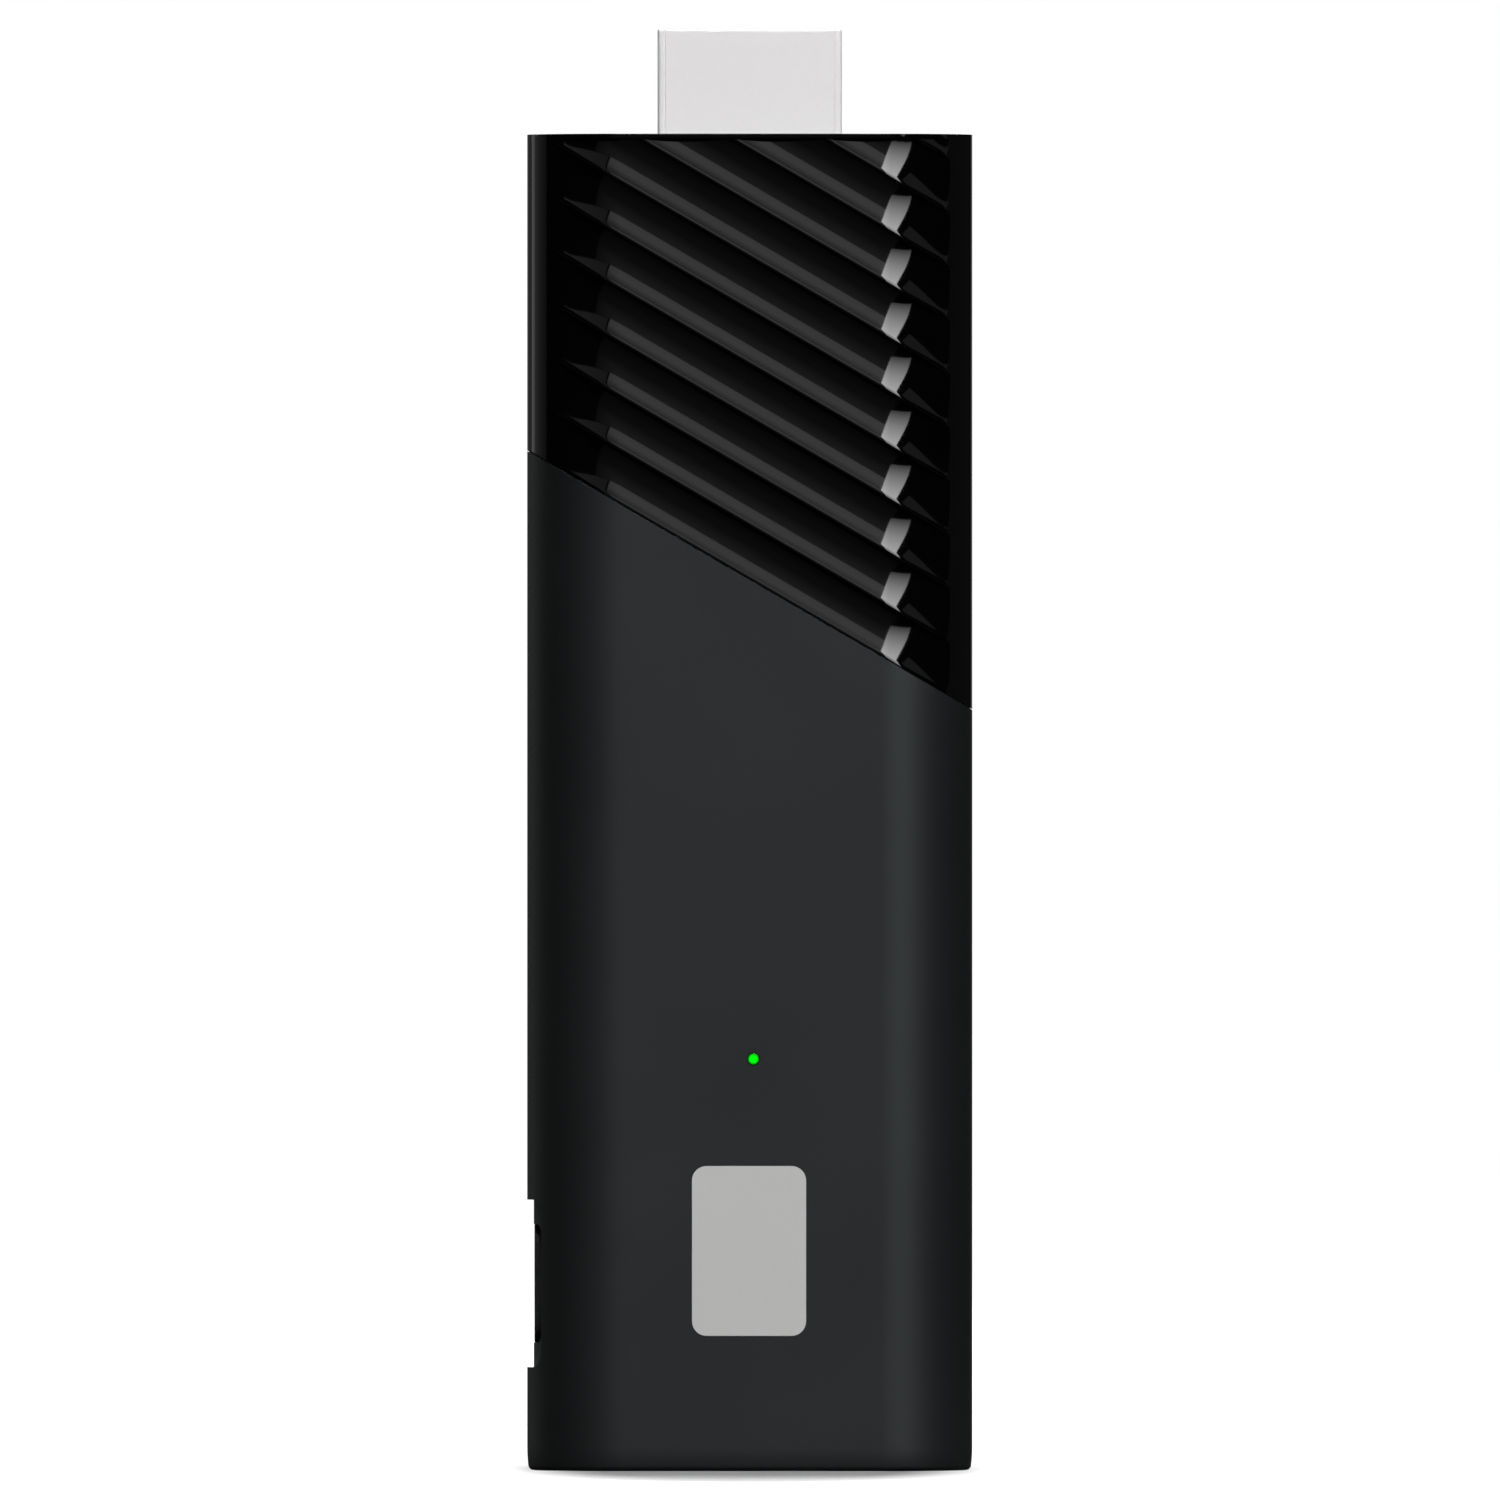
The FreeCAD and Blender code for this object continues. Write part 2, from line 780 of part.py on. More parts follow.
def switch_body():
    body = chip(0, button_height, switch_size, switch_size, board_half, switch_body_height)
    return body.cut(post(0, button_height, switch_pocket_diameter,
                         switch_floor_face, switch_body_top))


def switch_cover():
    cover = chip(0, button_height, switch_size, switch_size,
                 switch_body_top, switch_cover_thickness)
    hole = plunger_diameter + 2 * plunger_clearance
    return cover.cut(post(0, button_height, hole, switch_body_top, switch_cover_top))


def switch_dome():
    """Snap spring on the switch's floor: a strip bent up to just under the pressed plunger."""
    foot = dome_span / 2
    crown = dome_crown / 2
    top = plunger_start - button_travel - dome_clearance
    z = button_height - dome_width / 2
    outline = [
        Vector(-foot, switch_floor_face, z),
        Vector(-crown, top, z),
        Vector(crown, top, z),
        Vector(foot, switch_floor_face, z),
        Vector(foot - dome_thickness, switch_floor_face, z),
        Vector(crown - dome_thickness, top - dome_thickness, z),
        Vector(dome_thickness - crown, top - dome_thickness, z),
        Vector(dome_thickness - foot, switch_floor_face, z),
    ]
    strip = Part.Face(Part.makePolygon(outline + [outline[0]]))
    return strip.extrude(Vector(0, 0, dome_width))


def switch_plunger():
    flange = post(0, button_height, plunger_flange_diameter, plunger_start, plunger_flange_top)
    stem = post(0, button_height, plunger_diameter, plunger_start, plunger_top)
    return flange.fuse(stem).removeSplitter()


def reset_button():
    """Moulded button, held in by its flange and guided by the shell's bore and sleeve."""
    face = side_radius - button_set_back
    flange_top = shell_inside - button_flange_gap
    flange_start = flange_top - button_flange_thickness
    cap = post(0, button_height, button_diameter, flange_start, face)
    rim = [edge for edge in cap.Edges if edge.BoundBox.YMin > face - tiny]
    cap = cap.makeChamfer(button_edge_break, rim)
    flange = post(0, button_height, button_flange_diameter, flange_start, flange_top)
    stem = post(0, button_height, button_stem_diameter, plunger_top + button_stem_gap, flange_start)
    return cap.fuse([flange, stem]).removeSplitter()


front_cover, rear_cover = louvre_covers()
write("front_louvre_cover", front_cover)
write("rear_louvre_cover", rear_cover)

front_shell, rear_shell = matt_shells()
write("front_shell", front_shell)
write("rear_shell", rear_shell)

write("main_board", main_board())
write("board_screws", board_screws())
write("processor", processor())
write("flash_chip", flash_chip())
write("memory_chips", memory_chips())
write("crystal", crystal())
write("shield_frame", shield_frame())
write("shield_lid", shield_lid())
write("rear_shield_can", rear_can())

processor_pad_size = processor_cap_size - processor_pad_inset
write("processor_pad", chip(0, processor_middle, processor_pad_size, processor_pad_size,
                            -processor_face, lid_face - sheet_thickness - processor_face))
heat_pad_width = 2 * (flat_half_width - heat_pad_inset)
heat_pad_length = shield_length - 2 * heat_pad_inset
write("front_heat_pad", chip(0, shield_middle, heat_pad_width, heat_pad_length,
                             -lid_face, spreader_back - lid_face))
write("rear_heat_pad", chip(0, shield_middle, heat_pad_width, heat_pad_length,
                            can_face, spreader_back - can_face))
write("front_heat_spreader", heat_spreader())
write("rear_heat_spreader", to_rear(heat_spreader()))

write("power_chip", power_chip())
write("power_inductors", power_inductors())
write("capacitors", capacitors())
write("radio_module", radio_module())
write("left_antenna", antenna(-1))
write("right_antenna", antenna(1))

write("hdmi_shell", plug_shell())
write("hdmi_insert", plug_insert())
write("hdmi_contacts", Part.makeCompound(plug_contacts()))
write("usb_shell", socket_shell())
write("usb_tongue", socket_tongue())
write("usb_contacts", socket_contacts())

write("status_lamp", chip(lamp_shift, lamp_height, lamp_length, lamp_width,
                          -board_half, lamp_thickness))
write("light_guide", light_guide())

write("switch_body", switch_body())
write("switch_cover", switch_cover())
write("switch_dome", switch_dome())
write("switch_plunger", switch_plunger())
write("reset_button", reset_button())
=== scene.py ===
import json
import math

import bmesh
import bpy
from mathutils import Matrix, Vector

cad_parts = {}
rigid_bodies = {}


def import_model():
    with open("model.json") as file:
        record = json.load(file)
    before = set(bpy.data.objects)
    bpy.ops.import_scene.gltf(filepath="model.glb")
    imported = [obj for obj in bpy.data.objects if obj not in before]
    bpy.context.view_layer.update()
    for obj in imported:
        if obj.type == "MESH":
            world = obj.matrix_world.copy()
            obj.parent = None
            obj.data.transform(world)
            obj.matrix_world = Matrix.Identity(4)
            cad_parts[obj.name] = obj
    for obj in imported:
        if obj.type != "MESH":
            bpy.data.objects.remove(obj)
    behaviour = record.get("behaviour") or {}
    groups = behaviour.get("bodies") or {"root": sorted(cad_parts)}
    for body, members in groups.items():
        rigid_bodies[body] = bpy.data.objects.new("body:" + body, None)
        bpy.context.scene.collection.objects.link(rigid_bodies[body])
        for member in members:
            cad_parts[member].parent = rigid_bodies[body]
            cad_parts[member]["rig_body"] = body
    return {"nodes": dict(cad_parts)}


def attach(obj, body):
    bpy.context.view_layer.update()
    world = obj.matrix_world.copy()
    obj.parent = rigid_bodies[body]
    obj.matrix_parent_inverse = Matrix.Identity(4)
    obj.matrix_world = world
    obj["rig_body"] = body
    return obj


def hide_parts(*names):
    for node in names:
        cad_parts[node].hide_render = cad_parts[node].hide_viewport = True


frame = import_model()
for stray in [o for o in bpy.data.objects if o.type in ("MESH", "LIGHT", "CAMERA") and "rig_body" not in o]:
    bpy.data.objects.remove(stray)
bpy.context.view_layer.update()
collection = bpy.context.scene.collection
MM = 0.001


# ---- Camera ----
# A long lens at the eye level of the stick, square on to its front, as the photograph was taken.
# Everything in the picture keeps its true proportions, because the lens is so long.
lens_length = 1200.0
sensor_width = 36.0
picture_width = 113.25 * MM
view_centre = Vector((0.02 * MM, 0.0, 54.35 * MM))
lens = bpy.data.cameras.new("studio_camera")
lens.lens = lens_length
lens.sensor_width = sensor_width
lens.clip_start = 0.05
lens.clip_end = 40.0
camera = bpy.data.objects.new("studio_camera", lens)
collection.objects.link(camera)
camera.location = view_centre + Vector((0.0, -picture_width * lens_length / sensor_width, 0.0))
camera.rotation_euler = (math.radians(90.0), 0.0, 0.0)
bpy.context.scene.camera = camera
bpy.context.scene.view_settings.view_transform = "Standard"


# ---- Studio ----
# A white table in a dim room with plain soft boxes: a tall narrow one to the right, broad ones in front, a
# bright one above the camera, and wide dim ones at the sides and behind, so that the gloss has something
# to mirror. Only the camera sees the room and the table as white.
def towards(azimuth, elevation):
    """The direction from the stick to a place in the studio; azimuth 0 is the camera's side."""
    a, e = math.radians(azimuth), math.radians(elevation)
    return Vector((math.sin(a) * math.cos(e), -math.cos(a) * math.cos(e), math.sin(e)))


box_distance = 2.0
box_centre = Vector((0.0, 0.0, 0.078))


def add_node(tree, kind, sockets=(), **settings):
    """Adds a node to the tree with its settings and the values of its sockets."""
    made = tree.nodes.new(kind)
    for setting, value in settings.items():
        setattr(made, setting, value)
    for socket, value in dict(sockets).items():
        made.inputs[socket].default_value = value
    return made


def join(tree, *links):
    """Links an output of one node to an input of another, each link a node, its output, a node, its input."""
    for source, output, target, socket in links:
        tree.links.new(source.outputs[output], target.inputs[socket])


box_glow = bpy.data.materials.new("soft_box_glow")
box_glow.use_nodes = True
tree = box_glow.node_tree
tree.nodes.clear()
out = add_node(tree, "ShaderNodeOutputMaterial")
emission = add_node(tree, "ShaderNodeEmission")
level = add_node(tree, "ShaderNodeAttribute", attribute_name="glow")
join(tree, (level, "Fac", emission, "Strength"), (emission, "Emission", out, "Surface"))


def soft_box(name, corners):
    """A plain panel whose four corners are each an azimuth, an elevation and how bright it is there."""
    work = bmesh.new()
    glow = work.verts.layers.float.new("glow")
    points = []
    for azimuth, elevation, level in corners:
        point = work.verts.new(box_centre + towards(azimuth, elevation) * box_distance)
        point[glow] = level
        points.append(point)
    work.faces.new(points)
    mesh = bpy.data.meshes.new(name)
    work.to_mesh(mesh)
    work.free()
    mesh.materials.append(box_glow)
    panel = bpy.data.objects.new(name, mesh)
    collection.objects.link(panel)
    panel.visible_camera = False
    panel.visible_shadow = False


soft_box("right_strip_box", [(18, 13.0, 0.9), (30.5, 4.5, 0.9), (55.5, 47, 14.5), (34.5, 47, 14.5)])
soft_box("upper_front_box", [(6, 27.0, 0.72), (28, 25.6, 1.08), (29, 31.5, 1.08), (6, 31.5, 0.72)])
soft_box("upper_front_fade", [(6, 31.5, 0.72), (29, 31.5, 1.08), (31, 38.5, 0.12), (6, 38.5, 0.12)])
soft_box("lower_front_box", [(-12, 3, 0.04), (18, 3, 0.04), (19, 15, 0.08), (-12, 15, 0.05)])
soft_box("middle_front_box", [(-12, 15, 0.05), (19, 15, 0.08), (23, 26, 0.25), (-12, 26.5, 0.07)])
soft_box("key_box", [(-9, 43.5, 36.0), (19, 43.5, 36.0), (19, 60, 36.0), (-9, 60, 36.0)])
soft_box("left_canopy", [(-67, 10.8, 0.32), (4, 27.6, 0.18), (4, 42.5, 0.18), (-67, 42, 0.3)])
soft_box("right_canopy", [(46.5, 21.0, 0.19), (92, 1.5, 0.16), (92, 50, 0.16), (64, 58, 0.19)])
soft_box("left_back_box", [(-143, -12, 0.4), (-133, -12, 0.36), (-133, 40, 0.36), (-143, 40, 0.4)])
soft_box("left_rear_box", [(-166, -12, 0.07), (-143, -12, 0.07), (-143, 40, 0.07), (-166, 40, 0.07)])
soft_box("left_side_box", [(-133, -12, 0.17), (-104, -12, 0.06), (-104, 40, 0.06), (-133, 40, 0.17)])
soft_box("right_back_box", [(92, -10, 0.045), (150, -10, 0.012), (150, 45, 0.012), (92, 45, 0.045)])
soft_box("rear_box", [(160, -8, 0.12), (200, -8, 0.12), (200, 24, 0.2), (160, 24, 0.2)])


lamp_distance = 1.2


def overhead_lamp(name, azimuth, elevation, size, level):
    """A square area lamp as bright as level, out of the mirror directions of the front."""
    lamp = bpy.data.lights.new(name, "AREA")
    lamp.shape = "SQUARE"
    lamp.size = size
    lamp.energy = level * math.pi * size * size
    stand = bpy.data.objects.new(name, lamp)
    collection.objects.link(stand)
    out = towards(azimuth, elevation)
    stand.location = box_centre + out * lamp_distance
    stand.rotation_mode = "QUATERNION"
    stand.rotation_quaternion = (-out).to_track_quat("-Z", "Y")
    stand.visible_camera = False


overhead_lamp("overhead_lamp", azimuth=180.0, elevation=78.0, size=1.0, level=0.5)
overhead_lamp("rear_lamp", azimuth=180.0, elevation=30.0, size=0.6, level=6.0)

white = (1.0, 1.0, 1.0, 1.0)
room = bpy.data.worlds.new("studio_room")
bpy.context.scene.world = room
room.use_nodes = True
tree = room.node_tree
tree.nodes.clear()
out = add_node(tree, "ShaderNodeOutputWorld")
either = add_node(tree, "ShaderNodeMixShader")
dim = add_node(tree, "ShaderNodeBackground", {"Color": white, "Strength": 0.006})
bright = add_node(tree, "ShaderNodeBackground", {"Color": white, "Strength": 1.0})
rays = add_node(tree, "ShaderNodeLightPath")
join(tree, (rays, "Is Camera Ray", either, "Fac"), (dim, "Background", either, 1),
     (bright, "Background", either, 2), (either, "Shader", out, "Surface"))

# The table's camera-only glow carries a painted contact shadow, a narrow oval under the stick as deep as the
# stick hides the room from it, and a faint painted shade near the stick.
table_radius = 12.0
table_mesh = bpy.data.meshes.new("studio_table")
table_work = bmesh.new()
bmesh.ops.create_circle(table_work, cap_ends=True, segments=96, radius=table_radius)
table_work.to_mesh(table_mesh)
table_work.free()
table = bpy.data.objects.new("studio_table", table_mesh)
collection.objects.link(table)
table_white = bpy.data.materials.new("table_white")
table_white.use_nodes = True
tree = table_white.node_tree
tree.nodes.clear()
out = add_node(tree, "ShaderNodeOutputMaterial")
place = add_node(tree, "ShaderNodeTexCoord")
spread = add_node(tree, "ShaderNodeVectorMath", operation="LENGTH")
# Painted shade: the glow dims a little within half a metre of the stick.
painted_shade_far = add_node(tree, "ShaderNodeMapRange", {"From Min": 0.08, "From Max": 0.5, "To Min": 0.96, "To Max": 1.0},
               interpolation_type="SMOOTHSTEP")
# Painted contact shadow: the occlusion, steepened and kept to an oval under the stick, dims the glow.
near = add_node(tree, "ShaderNodeAmbientOcclusion", {"Distance": 0.3}, samples=16)
contact = add_node(tree, "ShaderNodeMapRange", {"From Min": 0.62, "From Max": 0.97})
painted_shadow_deeper = add_node(tree, "ShaderNodeMath", {1: 7.0}, operation="POWER")
oval = add_node(tree, "ShaderNodeVectorMath", {1: (1.0, 0.28, 0.0)}, operation="MULTIPLY")
oval_reach = add_node(tree, "ShaderNodeVectorMath", operation="LENGTH")
painted_shadow_oval_edge = add_node(tree, "ShaderNodeMapRange", {"From Min": 11.0 * MM, "From Max": 21.0 * MM},
                     interpolation_type="SMOOTHSTEP")
painted_shadow_bounded = add_node(tree, "ShaderNodeMath", operation="MAXIMUM")
strength = add_node(tree, "ShaderNodeMath", operation="MULTIPLY")
glow = add_node(tree, "ShaderNodeEmission")
paper = add_node(tree, "ShaderNodeBsdfDiffuse", {"Color": (0.25, 0.25, 0.25, 1.0)})
both = add_node(tree, "ShaderNodeAddShader")
shade = add_node(tree, "ShaderNodeBsdfDiffuse", {"Color": (0.03, 0.03, 0.03, 1.0)})
rays = add_node(tree, "ShaderNodeLightPath")
seen = add_node(tree, "ShaderNodeMixShader")
join(tree, (place, "Object", spread, 0), (spread, "Value", painted_shade_far, "Value"), (painted_shade_far, "Result", strength, 0),
     (near, "AO", contact, "Value"), (contact, "Result", painted_shadow_deeper, 0), (painted_shadow_deeper, "Value", painted_shadow_bounded, 0),
     (place, "Object", oval, 0), (oval, "Vector", oval_reach, 0), (oval_reach, "Value", painted_shadow_oval_edge, "Value"),
     (painted_shadow_oval_edge, "Result", painted_shadow_bounded, 1), (painted_shadow_bounded, "Value", strength, 1), (strength, "Value", glow, "Strength"),
     (glow, "Emission", both, 0), (paper, "BSDF", both, 1), (rays, "Is Camera Ray", seen, "Fac"),
     (shade, "BSDF", seen, 1), (both, "Shader", seen, 2), (seen, "Shader", out, "Surface"))
table_mesh.materials.append(table_white)


# ---- Matt shells ----
# The lower two thirds of the casing are two moulded halves of charcoal plastic, spark-eroded to a fine
# even grain. They meet at the middle of the sides, and a slanted joint parts them from the gloss covers.
half_width = 16.8
side_radius = 7.0
flat_half = half_width - side_radius
shell_wall = 1.4
base_wall = 1.6
base_round = 0.38
base_taper = 0.09
base_taper_height = 1.7
seam_slope = math.tan(math.radians(30.2))
seam_middle = 67.2
seam_reveal = 0.045
seam_break = 0.03
parting_gap = 0.08
parting_depth = 0.3
ledge = 0.15
shoulder_width = 15.1
shoulder_end = math.asin((shoulder_width - flat_half) / side_radius)
quarter = math.radians(90.0)
smooth_angle = math.radians(35.0)


def stations(flat_steps, shoulder_steps, edge_steps):
    """Places round half the casing from edge to edge: each a centre line and a turn about it."""
    turns = [shoulder_end * n / shoulder_steps for n in range(1, shoulder_steps + 1)]
    last = quarter - math.asin(parting_gap / side_radius)
    turns += [shoulder_end + (last - shoulder_end) * n / edge_steps for n in range(1, edge_steps + 1)]
    turns.append(quarter)
    flats = [(flat_half * (2.0 * n / flat_steps - 1.0), 0.0) for n in range(flat_steps + 1)]
    return [(-flat_half, -t) for t in reversed(turns)] + flats + [(flat_half, t) for t in turns]


def lattice(columns, rows, place):
    """A sheet of columns by rows points, each put where place says."""
    sheet = bmesh.new()
    across, along = len(columns) - 1, len(rows) - 1
    bmesh.ops.create_grid(sheet, x_segments=across, y_segments=along, size=0.5)
    for point in sheet.verts:
        column = columns[round((point.co.x + 0.5) * across)]
        row = rows[round((point.co.y + 0.5) * along)]
        point.co = place(column, row)
    return sheet


def casing_half(columns, rows, front):
    """A wall that follows a closed row profile round the front or the rear half of the casing.
    A row is how far inside the skin it lies, whether it is on the skin's side, how much of the
    slanted joint's height it takes, a height added to it, and a hollow's depth."""
    facing = 1.0 if front else -1.0
    end_turn = quarter - 1e-6

    def place(column, row):
        centre, turn = column
        inset, skin, share, rise, depth = row
        at_end = abs(turn) > end_turn
        if at_end and skin and front:
            inset = max(inset, parting_depth)
        radius = side_radius - inset
        x = centre + radius * math.sin(turn)
        fade = 0.0
        if abs(turn) < shoulder_end:
            fade = math.cos(math.pi / 2.0 * abs(turn) / shoulder_end)
        y = -radius * math.cos(turn) + depth * fade
        if at_end:
            y = 0.0
        z = share * (seam_middle - seam_slope * x) + rise
        return Vector((x * MM, y * facing * MM, z * MM))

    half = lattice(columns, rows, place)
    bmesh.ops.remove_doubles(half, verts=half.verts, dist=2e-7)
    bmesh.ops.dissolve_degenerate(half, edges=half.edges, dist=1e-7)
    bmesh.ops.holes_fill(half, edges=[e for e in half.edges if e.is_boundary], sides=0)
    bmesh.ops.recalc_face_normals(half, faces=half.faces)
    return half


def make_piece(name, work):
    """Turns the worked mesh into a piece, smooth but for its sharp edges."""
    if work.calc_volume(signed=True) < 0.0:
        bmesh.ops.reverse_faces(work, faces=work.faces)
    mesh = bpy.data.meshes.new(name)
    work.to_mesh(mesh)
    work.free()
    mesh.shade_smooth()
    mesh.set_sharp_from_angle(angle=smooth_angle)
    piece = bpy.data.objects.new(name, mesh)
    collection.objects.link(piece)
    return piece


def carve(piece, cutters, operation="DIFFERENCE"):
    """Cuts the cutters out of the piece for good, or joins them to it."""
    for cutter in cutters:
        cut = piece.modifiers.new("cut", "BOOLEAN")
        cut.operation = operation
        cut.solver = "EXACT"
        cut.object = cutter
    bpy.context.view_layer.update()
    seen = piece.evaluated_get(bpy.context.evaluated_depsgraph_get())
    carved = bpy.data.meshes.new_from_object(seen)
    piece.modifiers.clear()
    piece.data = carved
    carved.name = piece.name
    carved.shade_smooth()
    carved.set_sharp_from_angle(angle=smooth_angle)


def prism(corners, low, high, axis, rounding, steps):
    """A straight bar over a plane outline between two heights along an axis, its corners rounded."""
    work = bmesh.new()
    work.faces.new([work.verts.new((u * MM, v * MM, low * MM)) for u, v in corners])
    bmesh.ops.bevel(work, geom=work.verts[:], offset=rounding * MM, segments=steps, profile=0.5,
                    affect="VERTICES", material=-1)
    grown = bmesh.ops.extrude_face_region(work, geom=work.faces[:])["geom"]
    bmesh.ops.translate(work, vec=(0.0, 0.0, (high - low) * MM),
                        verts=[g for g in grown if isinstance(g, bmesh.types.BMVert)])
    for point in work.verts:
        u, v, w = point.co
        point.co = {"X": (w, u, v), "Y": (u, w, v), "Z": (u, v, w)}[axis]
    bmesh.ops.recalc_face_normals(work, faces=work.faces)
    return work


def rod(diameter, length, x, y, z, segments):
    """A round bar along Y about its middle at x, y, z."""
    work = bmesh.new()
    bmesh.ops.create_cone(work, cap_ends=True, segments=segments, radius1=diameter / 2 * MM,
                          radius2=diameter / 2 * MM, depth=length * MM)
    for point in work.verts:
        u, v, w = point.co
        point.co = (u + x * MM, w + y * MM, v + z * MM)
    bmesh.ops.recalc_face_normals(work, faces=work.faces)
    return work


def score(work, place, normal, clear_outer=False):
    """Draws a line of edges round the work where a plane cuts it, and can clear what lies beyond the plane."""
    bmesh.ops.bisect_plane(work, geom=work.verts[:] + work.edges[:] + work.faces[:],
                           plane_co=[n * place * MM for n in normal], plane_no=normal, clear_outer=clear_outer)


def oblong(width, height, middle=(0.0, 0.0)):
    """The four corners of a plate."""
    u, v = middle
    return [(u - width / 2, v - height / 2), (u + width / 2, v - height / 2),
            (u + width / 2, v + height / 2), (u - width / 2, v + height / 2)]


port_height = 14.09
port_length = 8.94
port_thickness = 3.16
port_clearance = 0.1
short_of_half = 0.001
socket_bottom = -12.0
recess_length = 12.66
recess_thickness = 7.4
recess_corner = 1.2
recess_depth = 0.5
recess_fillet = 0.08
recess_slice = 0.25
recess_slice_shift = 0.01
recess_inner_part = -16.5
well_length = 8.92
well_thickness = 5.3
well_corner = 0.7
well_bottom = -15.5
beyond_side = -18.5
lamp_shift = 0.28
lamp_height = 31.06
lamp_hole = 1.0
button_height = 38.0
button_bore = 2.3
bore_length = 4.0

# The pocket's floor follows the round side, with a small fillet at its foot.
pocket_floor = -15.0
pocket_work = prism(oblong(recess_thickness, recess_length, (0.0, port_height)), beyond_side, pocket_floor, "X",
                    recess_corner, 8)
foot = [e for e in pocket_work.edges if all(abs(v.co.x - pocket_floor * MM) < 1e-7 for v in e.verts)]
bmesh.ops.bevel(pocket_work, geom=foot, offset=recess_fillet * MM, segments=3, profile=0.5, affect="EDGES",
                material=-1)
slices = int(recess_thickness / 2 / recess_slice)
for cut in range(-slices, slices + 1):
    score(pocket_work, cut * recess_slice + recess_slice_shift, (0.0, 1.0, 0.0))
bmesh.ops.remove_doubles(pocket_work, verts=pocket_work.verts, dist=5e-6)
for point in pocket_work.verts:
    if point.co.x > recess_inner_part * MM:
        y = point.co.y / MM
        round_x = -(flat_half + math.sqrt((side_radius - recess_depth) ** 2 - y * y))
        point.co.x += (round_x - pocket_floor) * MM
bmesh.ops.recalc_face_normals(pocket_work, faces=pocket_work.faces)
pocket_cutter = make_piece("pocket_cutter", pocket_work)
well_cutter = make_piece("well_cutter", prism(oblong(well_thickness, well_length, (0.0, port_height)),
                                              beyond_side, well_bottom, "X", well_corner, 5))
socket_cutter = make_piece("socket_cutter", prism(
    oblong(port_thickness + port_clearance, port_length + port_clearance, (0.0, port_height)), beyond_side,
    socket_bottom, "X", (port_thickness + port_clearance) / 2 - short_of_half, 12))
lamp_cutter = make_piece("lamp_cutter", rod(lamp_hole, bore_length, lamp_shift, -side_radius, lamp_height, 64))
bore_cutter = make_piece("bore_cutter", rod(button_bore, bore_length, 0.0, side_radius, button_height, 72))


def shell_rows():
    """The shell's wall from its upper edge down the skin, round the base and up the inside."""
    rows = [(ledge, True, 1.0, -seam_reveal, 0.0), (seam_break, True, 1.0, -seam_reveal, 0.0),
            (seam_break / 2, True, 1.0, -seam_reveal - seam_break * 2 / 3, 0.0),
            (0.0, True, 1.0, -seam_reveal - seam_break, 0.0)]
    skin_steps = 24
    for n in range(1, skin_steps + 1):
        share = 1.0 - n / skin_steps
        rise = -(seam_reveal + seam_break) * share + base_taper_height * (1.0 - share)
        rows.append((0.0, True, share, rise, 0.0))
    taper_steps = 6
    lean = math.atan(2.0 * base_taper / (base_taper_height - base_round))
    turn_foot = base_round * (1.0 - math.sin(lean))
    for n in range(1, taper_steps + 1):
        t = n / taper_steps
        rise = base_taper_height + (turn_foot - base_taper_height) * t
        rows.append((base_taper * t * t, True, 0.0, rise, 0.0))
    round_steps = 7
    for n in range(1, round_steps + 1):
        a = lean + (quarter - lean) * n / round_steps
        rows.append((base_taper + base_round * (math.cos(lean) - math.cos(a)), True, 0.0,
                     base_round * (1.0 - math.sin(a)), 0.0))
    rows += [(side_radius / 2, False, 0.0, 0.0, 0.0), (side_radius, False, 0.0, 0.0, 0.0),
             (side_radius, False, 0.0, base_wall, 0.0),
             (shell_wall, False, 0.0, base_wall, 0.0), (shell_wall, False, 1.0, 0.0, 0.0),
             (ledge, False, 1.0, 0.0, 0.0), (ledge, True, 1.0, -seam_reveal, 0.0)]
    return rows


shell_columns = stations(24, 18, 14)
front_shell = make_piece("front_shell_piece", casing_half(shell_columns, shell_rows(), True))
rear_shell = make_piece("rear_shell_piece", casing_half(shell_columns, shell_rows(), False))
carve(front_shell, [pocket_cutter, well_cutter, socket_cutter, lamp_cutter])
carve(rear_shell, [pocket_cutter, well_cutter, socket_cutter, bore_cutter])
for cutter in (pocket_cutter, well_cutter, socket_cutter, lamp_cutter, bore_cutter):
    bpy.data.objects.remove(cutter)


